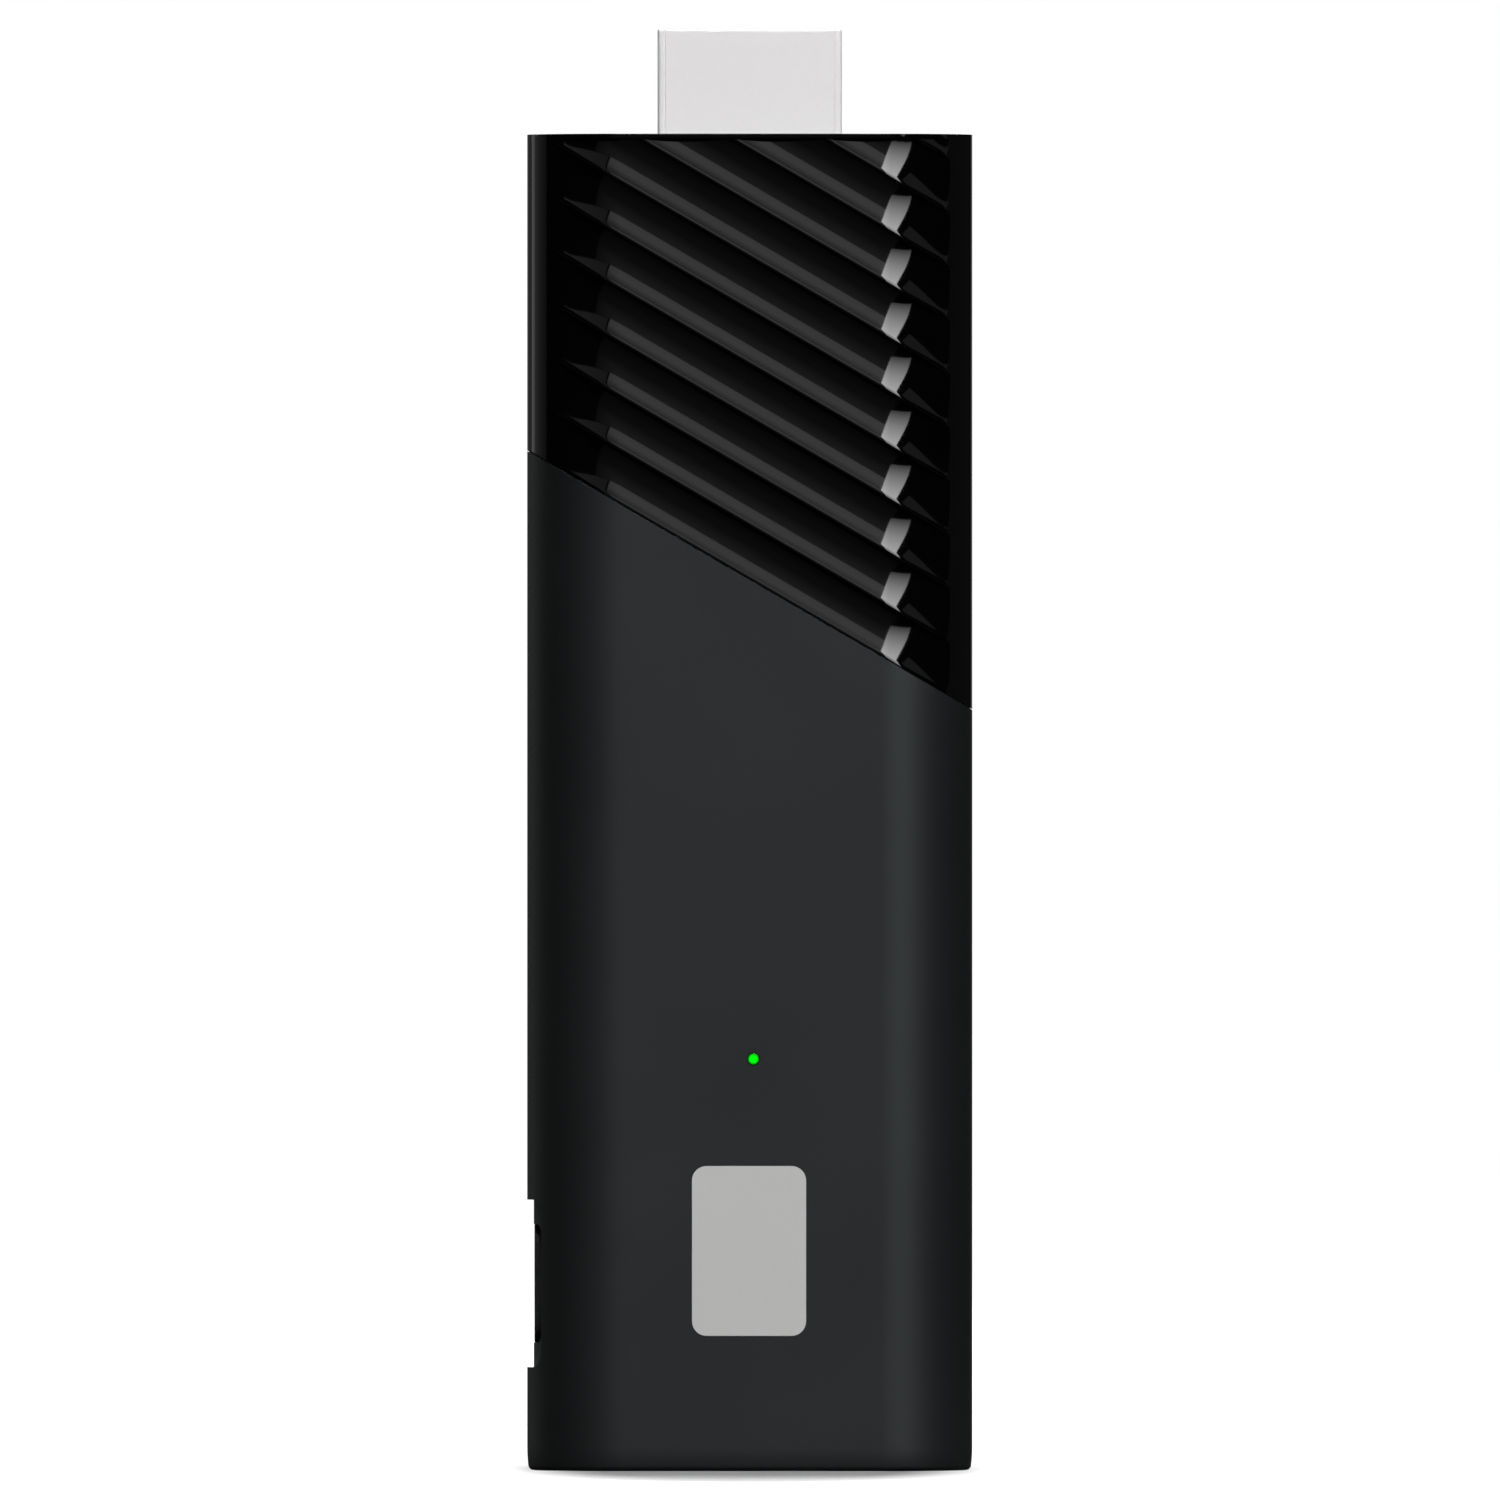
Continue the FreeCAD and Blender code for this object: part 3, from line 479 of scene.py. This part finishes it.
def grained(name, low, high, roughness, grain, relief, metal=0.0, specular=0.5, stretch=(1.0, 1.0, 1.0),
            detail=4.0, roughness_spread=0.06, tint=(1.0, 1.0, 1.0)):
    """A finish whose colour, roughness and relief vary a little over a grain of the given size in mm."""
    made = bpy.data.materials.new(name)
    made.use_nodes = True
    tree = made.node_tree
    shader = tree.nodes["Principled BSDF"]
    shader.inputs["Metallic"].default_value = metal
    shader.inputs["Specular IOR Level"].default_value = specular
    shader.inputs["Specular Tint"].default_value = (*tint, 1.0)
    low_noise = 0.3
    high_noise = 0.7
    place = add_node(tree, "ShaderNodeTexCoord")
    fit = add_node(tree, "ShaderNodeMapping", {"Scale": stretch})
    fine = add_node(tree, "ShaderNodeTexNoise", {
        "Scale": 1.0 / (grain * MM), "Detail": detail, "Roughness": 0.6})
    broad = add_node(tree, "ShaderNodeTexNoise", {"Scale": 90.0, "Detail": 3.0})
    blend = add_node(tree, "ShaderNodeMix", {"Factor": 0.35}, data_type="FLOAT")
    tone = add_node(tree, "ShaderNodeValToRGB")
    for stop, noise, colour in zip(tone.color_ramp.elements, (low_noise, high_noise), (low, high)):
        stop.position = noise
        stop.color = (*colour, 1.0)
    gloss = add_node(tree, "ShaderNodeMapRange", {
        "From Min": low_noise, "From Max": high_noise,
        "To Min": roughness - roughness_spread / 2, "To Max": roughness + roughness_spread / 2})
    bump = add_node(tree, "ShaderNodeBump", {"Strength": 1.0, "Distance": relief * MM})
    join(tree, (place, "Object", fit, "Vector"), (fit, "Vector", fine, "Vector"),
         (place, "Object", broad, "Vector"), (fine, "Fac", blend, "A"), (broad, "Fac", blend, "B"),
         (blend, "Result", tone, "Fac"), (tone, "Color", shader, "Base Color"),
         (blend, "Result", gloss, "Value"), (gloss, "Result", shader, "Roughness"),
         (fine, "Fac", bump, "Height"), (bump, "Normal", shader, "Normal"))
    return made


def dress(piece, finish):
    """Gives the whole piece one finish."""
    piece.data.materials.clear()
    piece.data.materials.append(finish)


matt_charcoal = grained("matt_charcoal", (0.0014, 0.0014, 0.0014), (0.0026, 0.0026, 0.0026), 0.45, 0.14,
                        0.003, specular=0.9, tint=(0.88, 0.954, 1.0))
for piece, node in ((front_shell, "front_shell"), (rear_shell, "rear_shell")):
    dress(piece, matt_charcoal)
    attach(piece, "stick")
    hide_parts(node)


# ---- Louvred front cover and plain rear cover ----
# The upper third is gloss black moulded plastic. On the front eleven slanted slats are moulded into it,
# each hollowed so that it runs in under the lip of the next, and they fade out on the round shoulders.
cover_wall = 2.05
louvre_pitch = 4.05
louvre_count = 11
louvre_depth = 0.7
lip_round = 0.08
crest_land = 0.04
body_height = 100.8
rim_foot = 100.4
rim_overlap = 0.02
rim_round = 0.03
roof_wall = 1.6
plug_half_width = 6.95
plug_half_thickness = 2.225
plug_bevel = 1.9
plug_clearance = 0.1
plug_bevel_share = 0.4
opening_low = 98.0
opening_high = 102.0
opening_corner = 0.3
plug_outline = [(-plug_half_width, -plug_half_thickness), (plug_half_width, -plug_half_thickness),
                (plug_half_width, plug_half_thickness - plug_bevel),
                (plug_half_width - plug_bevel, plug_half_thickness),
                (-plug_half_width + plug_bevel, plug_half_thickness),
                (-plug_half_width, plug_half_thickness - plug_bevel)]


def cover_rows(louvred):
    """The cover's wall from its lower edge up the skin, slat by slat, and down the inside."""
    rows = [(cover_wall, False, 1.0, 0.0, 0.0), (ledge, False, 1.0, 0.0, 0.0),
            (seam_break, True, 1.0, 0.0, 0.0), (0.0, True, 1.0, seam_break, 0.0)]
    top = louvre_pitch * (louvre_count + 1)
    if not louvred:
        plain_steps = 16
        rows += [(0.0, True, 1.0, seam_break + (top - seam_break) * n / plain_steps, 0.0)
                 for n in range(1, plain_steps)]
    else:
        lip_steps = 5
        hollow_steps = 18
        for slat in range(louvre_count):
            foot = slat * louvre_pitch
            if slat:
                for n in range(lip_steps + 1):
                    a = quarter * n / lip_steps
                    rows.append((0.0, True, 1.0, foot + lip_round * (1.0 - math.cos(a)),
                                 lip_round * (1.0 - math.sin(a))))
            start = lip_round + crest_land
            run = louvre_pitch - start
            for n in range(hollow_steps + 1):
                left = 1.0 - n / hollow_steps
                rows.append((0.0, True, 1.0, foot + louvre_pitch - run * left,
                             louvre_depth * (1.0 - left * left)))
        rows.append((0.0, True, 1.0, louvre_pitch * louvre_count, 0.0))
    rows += [(0.0, True, 1.0, top, 0.0), (cover_wall, False, 1.0, top, 0.0),
             (cover_wall, False, 1.0, 0.0, 0.0)]
    return rows


def roof_rows():
    """The cover's top: a plain rim above the slats and the flat roof."""
    rows = [(cover_wall, False, 0.0, rim_foot, 0.0), (0.0, True, 0.0, rim_foot, 0.0)]
    round_steps = 6
    for n in range(round_steps + 1):
        a = quarter * n / round_steps
        rows.append((rim_round * (1.0 - math.cos(a)), True, 0.0,
                     body_height - rim_round * (1.0 - math.sin(a)), 0.0))
    rows += [(side_radius / 2, False, 0.0, body_height, 0.0), (side_radius, False, 0.0, body_height, 0.0),
             (side_radius, False, 0.0, body_height - roof_wall, 0.0),
             (cover_wall, False, 0.0, body_height - roof_wall, 0.0), (cover_wall, False, 0.0, rim_foot, 0.0)]
    return rows


def make_cover(name, louvred):
    """One cover, its rim and roof joined to its wall and the opening for the plug cut out."""
    columns = stations(24, 26, 14)
    wall = casing_half(columns, cover_rows(louvred), louvred)
    score(wall, rim_foot + rim_overlap, (0.0, 0.0, 1.0), clear_outer=True)
    bmesh.ops.holes_fill(wall, edges=[e for e in wall.edges if e.is_boundary], sides=0)
    bmesh.ops.recalc_face_normals(wall, faces=wall.faces)
    cover = make_piece(name, wall)
    roof = make_piece("roof", casing_half(columns, roof_rows(), louvred))
    opening_outline = []
    for x, y in plug_outline:
        out_x = 1 if x > 0 else -1
        out_y = -1 if y < 0 else 1 if y == plug_half_thickness else plug_bevel_share
        opening_outline.append((x + plug_clearance * out_x, y + plug_clearance * out_y))
    opening = make_piece("opening", prism(opening_outline, opening_low, opening_high, "Z", opening_corner, 6))
    carve(cover, [roof], "UNION")
    carve(cover, [opening])
    bpy.data.objects.remove(roof)
    bpy.data.objects.remove(opening)
    return cover


front_cover = make_cover("front_cover_piece", True)
rear_cover = make_cover("rear_cover_piece", False)
gloss_black = grained("gloss_black_moulded", (0.0004, 0.0004, 0.0005), (0.0007, 0.0007, 0.0008), 0.05, 1.6,
                      0.0004, detail=2.0, roughness_spread=0.02)
for piece, node in ((front_cover, "front_louvre_cover"), (rear_cover, "rear_louvre_cover")):
    dress(piece, gloss_black)
    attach(piece, "stick")
    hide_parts(node)


# ---- Plug shell ----
# The plug's shell is one folded sheet of nickel-plated steel, six-sided with two bevelled corners,
# its mouth a sheared and tumbled edge, with a fine drawn line down each side of its broad front.
plug_foot = 94.4
plug_top = 108.75
plug_wall = 0.4
plug_corner = 0.25
plug_rings = (97.6, body_height, 104.6, 108.45)
plug_line = 6.4
plug_line_half = 0.05
plug_line_depth = 0.045
plug_skin = 0.01
plug_rim_round = 0.12


def open_ends(work, axis):
    """Takes the caps off both ends of a bar along an axis, 0 for X or 2 for Z."""
    caps = [f for f in work.faces if abs(f.normal[axis]) > 0.9]
    bmesh.ops.delete(work, geom=caps, context="FACES")


def thicken(work, wall, axis, mouth_place, mouth_round, steps):
    """Gives a tube its wall and rounds the edges of its mouth."""
    bmesh.ops.recalc_face_normals(work, faces=work.faces)
    bmesh.ops.solidify(work, geom=work.faces[:], thickness=wall * MM)
    bmesh.ops.recalc_face_normals(work, faces=work.faces)
    mouth = [e for e in work.edges
             if all(abs(v.co[axis] - mouth_place * MM) < 1e-7 for v in e.verts)
             and any(abs(f.normal[axis]) < 0.5 for f in e.link_faces)]
    bmesh.ops.bevel(work, geom=mouth, offset=mouth_round * MM, segments=steps, profile=0.5, affect="EDGES",
                    material=-1)


plug_work = prism(plug_outline, plug_foot, plug_top, "Z", plug_corner, 5)
open_ends(plug_work, 2)
for height in plug_rings:
    score(plug_work, height, (0.0, 0.0, 1.0))
for line_x in [side * (plug_line + step * plug_line_half) for side in (-1, 1) for step in (-1, 0, 1)]:
    score(plug_work, line_x, (1.0, 0.0, 0.0))
for point in plug_work.verts:
    on_line = abs(abs(point.co.x) - plug_line * MM) < 1e-6
    if on_line and point.co.y < (plug_skin - plug_half_thickness) * MM:
        point.co.y += plug_line_depth * MM
thicken(plug_work, plug_wall, 2, plug_top, plug_rim_round, 4)
plug_shell = make_piece("plug_shell_piece", plug_work)
plug_nickel = grained("plug_nickel", (0.815, 0.80, 0.805), (0.84, 0.825, 0.83), 0.55, 0.3, 0.0003,
                      metal=0.25)
dress(plug_shell, plug_nickel)
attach(plug_shell, "stick")
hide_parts("hdmi_shell")


# ---- Plug insert and contacts ----
# A black moulding fills the plug's shell round a slot, and two rows of gilt leaves are pressed into it.
# The socket's tongue and its leaves are made alike, and the reset switch is of the same black moulding.
insert_black = grained("insert_black", (0.010, 0.010, 0.011), (0.018, 0.018, 0.019), 0.42, 0.2, 0.002)
contact_gold = grained("contact_gold", (0.76, 0.52, 0.20), (0.84, 0.62, 0.28), 0.28, 0.3, 0.0008, metal=1.0)
for name in ("hdmi_insert", "switch_body", "switch_plunger", "usb_tongue"):
    dress(frame["nodes"][name], insert_black)
for name in ("hdmi_contacts", "usb_contacts"):
    dress(frame["nodes"][name], contact_gold)


# ---- Socket shell ----
# The socket's shell is an oval tube of steel coloured nearly black, drawn and rolled at the mouth, and it
# stands in the well of the side pocket.
socket_mouth = -16.25
socket_depth = 7.3
socket_wall = 0.3
socket_rim_round = 0.1
socket_work = prism(oblong(port_thickness, port_length, (0.0, port_height)), socket_mouth,
                    socket_mouth + socket_depth, "X", port_thickness / 2 - short_of_half, 14)
open_ends(socket_work, 0)
bmesh.ops.remove_doubles(socket_work, verts=socket_work.verts, dist=3e-6)
thicken(socket_work, socket_wall, 0, socket_mouth, socket_rim_round, 3)
socket_shell = make_piece("socket_shell_piece", socket_work)
socket_steel = grained("socket_steel", (0.022, 0.022, 0.023), (0.036, 0.036, 0.037), 0.6, 0.3, 0.0008,
                       metal=0.5, specular=0.3)
dress(socket_shell, socket_steel)
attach(socket_shell, "stick")
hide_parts("usb_shell")


# ---- Lamp ----
# A small clear green light guide shows flush in the front, bright in its middle and dark at its rim.
# It is a moulded rod, pushed into the shell's hole from inside, and it brings the board's lamp to the skin.
guide_diameter = 0.9
guide_length = 1.4
guide_rim_round = 0.06
core_bright = 0.25
core_dark = 0.44
guide_work = rod(guide_diameter, guide_length, lamp_shift, -(side_radius - guide_length / 2), lamp_height, 56)
rim = [e for e in guide_work.edges if all(abs(v.co.y + side_radius * MM) < 1e-7 for v in e.verts)]
bmesh.ops.bevel(guide_work, geom=rim, offset=guide_rim_round * MM, segments=4, profile=0.5, affect="EDGES",
                material=-1)
lamp_lens = make_piece("lamp_lens", guide_work)
lamp_green = bpy.data.materials.new("lamp_green")
lamp_green.use_nodes = True
tree = lamp_green.node_tree
shader = tree.nodes["Principled BSDF"]
shader.inputs["Base Color"].default_value = (0.0, 0.02, 0.001, 1.0)
shader.inputs["Roughness"].default_value = 0.18
shader.inputs["Emission Strength"].default_value = 1.0
place = add_node(tree, "ShaderNodeTexCoord")
fit = add_node(tree, "ShaderNodeMapping", {"Location": (-lamp_shift * MM, 0.0, -lamp_height * MM)})
flat = add_node(tree, "ShaderNodeVectorMath", {1: (1.0, 0.0, 1.0)}, operation="MULTIPLY")
reach = add_node(tree, "ShaderNodeVectorMath", operation="LENGTH")
core = add_node(tree, "ShaderNodeMapRange", {"From Min": core_bright * MM, "From Max": core_dark * MM,
                                             "To Min": 1.0, "To Max": 0.03}, interpolation_type="SMOOTHSTEP")
tone = add_node(tree, "ShaderNodeValToRGB")
tone.color_ramp.elements[0].color = (0.0, 0.012, 0.001, 1.0)
tone.color_ramp.elements[1].color = (0.0, 1.0, 0.003, 1.0)
join(tree, (place, "Object", fit, "Vector"), (fit, "Vector", flat, 0), (flat, "Vector", reach, 0),
     (reach, "Value", core, "Value"), (core, "Result", tone, "Fac"), (tone, "Color", shader, "Emission Color"))
dress(lamp_lens, lamp_green)
dress(frame["nodes"]["light_guide"], lamp_green)
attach(lamp_lens, "stick")
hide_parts("light_guide")


# ---- Printed patch ----
# A plain pale grey patch is pad-printed on the lower front, a few hundredths of a millimetre thick.
# Its ink is even and slightly rough, and its four corners are rounded alike.
patch_width = 8.6
patch_height = 12.8
patch_corner = 1.1
patch_middle = (-0.05, 16.6)
patch_proud = 0.004
patch_rooted = 0.02
patch_work = prism(oblong(patch_width, patch_height, patch_middle), -side_radius - patch_proud,
                   -side_radius + patch_rooted, "Y", patch_corner, 8)
printed_patch = make_piece("printed_patch", patch_work)
patch_grey = grained("patch_grey", (0.49, 0.49, 0.485), (0.515, 0.515, 0.51), 0.6, 0.12, 0.0015)
dress(printed_patch, patch_grey)
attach(printed_patch, "stick")


# ---- Reset button ----
# A small round button of the shell's own plastic sits a little below the rear face in its bore.
# It is a moulded pin with a collar that keeps it in, and the switch's sprung dome pushes it back out.
dress(frame["nodes"]["reset_button"], matt_charcoal)


# ---- Board and what it carries ----
# Hidden inside: a green board with black chips, tinned shields, coils, capacitors, sheet antennas and a
# crystal soldered to it, and grey pads with aluminium spreaders over the chips. Four screws hold it.
inner_finishes = {
    "main_board": grained("board_green", (0.010, 0.070, 0.030), (0.016, 0.100, 0.045), 0.4, 0.6, 0.002),
    "board_screws": grained("screw_steel", (0.50, 0.50, 0.50), (0.60, 0.60, 0.60), 0.34, 0.3, 0.001, metal=1.0),
    "processor": grained("chip_black", (0.016, 0.016, 0.017), (0.026, 0.026, 0.027), 0.5, 0.1, 0.002),
    "shield_frame": grained("tin_plate", (0.55, 0.55, 0.53), (0.66, 0.66, 0.64), 0.32, 0.8, 0.001, metal=1.0),
    "processor_pad": grained("pad_grey", (0.22, 0.24, 0.27), (0.28, 0.30, 0.33), 0.75, 0.2, 0.004),
    "front_heat_spreader": grained("spreader_aluminium", (0.70, 0.70, 0.71), (0.79, 0.79, 0.80), 0.38, 0.3,
                                   0.001, metal=1.0, stretch=(1.0, 1.0, 0.1)),
    "power_inductors": grained("ferrite_grey", (0.055, 0.055, 0.06), (0.085, 0.085, 0.09), 0.6, 0.15, 0.004),
    "capacitors": grained("capacitor_tan", (0.36, 0.25, 0.15), (0.47, 0.34, 0.21), 0.45, 0.2, 0.002),
    "crystal": grained("crystal_can", (0.60, 0.57, 0.46), (0.70, 0.67, 0.55), 0.3, 0.3, 0.0008, metal=1.0),
    "status_lamp": grained("lamp_white", (0.78, 0.78, 0.72), (0.88, 0.88, 0.83), 0.35, 0.2, 0.001),
}
same_finish = {
    "processor": ("flash_chip", "memory_chips", "power_chip", "radio_module"),
    "shield_frame": ("shield_lid", "rear_shield_can", "left_antenna", "right_antenna", "switch_cover"),
    "processor_pad": ("front_heat_pad", "rear_heat_pad"),
    "front_heat_spreader": ("rear_heat_spreader",),
    "board_screws": ("switch_dome",),
}
for name, finish in inner_finishes.items():
    dress(frame["nodes"][name], finish)
for like, names in same_finish.items():
    for name in names:
        dress(frame["nodes"][name], inner_finishes[like])
for name, finish in (("front_shell", matt_charcoal), ("rear_shell", matt_charcoal),
                     ("front_louvre_cover", gloss_black), ("rear_louvre_cover", gloss_black),
                     ("hdmi_shell", plug_nickel), ("usb_shell", socket_steel)):
    dress(frame["nodes"][name], finish)
